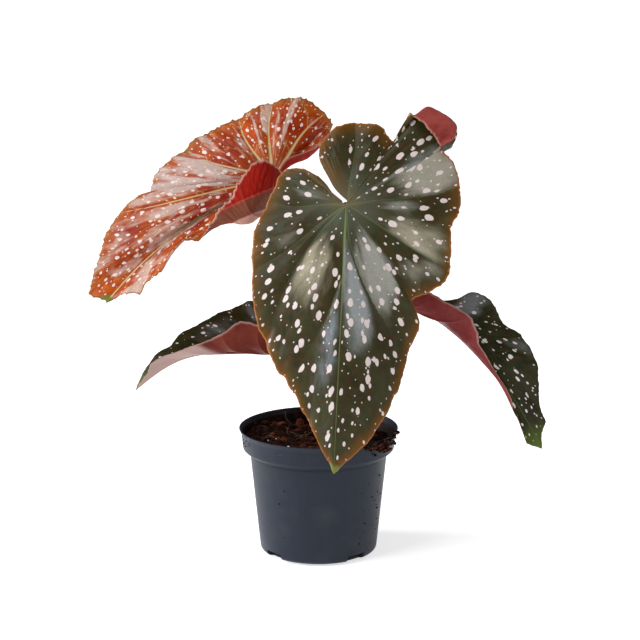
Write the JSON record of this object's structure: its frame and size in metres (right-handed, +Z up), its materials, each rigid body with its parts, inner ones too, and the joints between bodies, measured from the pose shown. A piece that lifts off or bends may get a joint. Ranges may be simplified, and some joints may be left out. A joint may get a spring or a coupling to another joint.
{
  "type": "potted begonia",
  "caption": "Spotted cane begonia with large wing-shaped leaves on arching stalks, rooted in soil in a round plastic nursery pot.",
  "frame": {"origin": "centre of the pot's flat underside, on the surface that it stands on", "axes": "+Z up, -Y towards the front that the big leaf faces, +X to the right seen from the front"},
  "size_m": [0.3407, 0.154, 0.3382],
  "materials": {
    "moulded_polypropylene": "semi-matte slate grey injection moulding",
    "coir_and_bark_soil": "coarse dark coir with bark chips",
    "begonia_cane": "smooth jointed green-brown stem",
    "begonia_stalk": "smooth red leaf stalk",
    "spotted_green_blade": "satin olive-green leaf with pale pink spots, red underneath",
    "spotted_bronze_blade": "satin bronze-orange young leaf with pale pink spots, red underneath"
  },
  "bodies": {
    "root": {"pot": "moulded_polypropylene", "soil": "coir_and_bark_soil", "cane": "begonia_cane", "petiole_front": "begonia_stalk", "petiole_bronze": "begonia_stalk", "petiole_right": "begonia_stalk", "petiole_left": "begonia_stalk", "leaf_front": "spotted_green_blade", "leaf_bronze": "spotted_bronze_blade", "leaf_right": "spotted_green_blade", "leaf_left": "spotted_green_blade"}
  },
  "joints": []
}
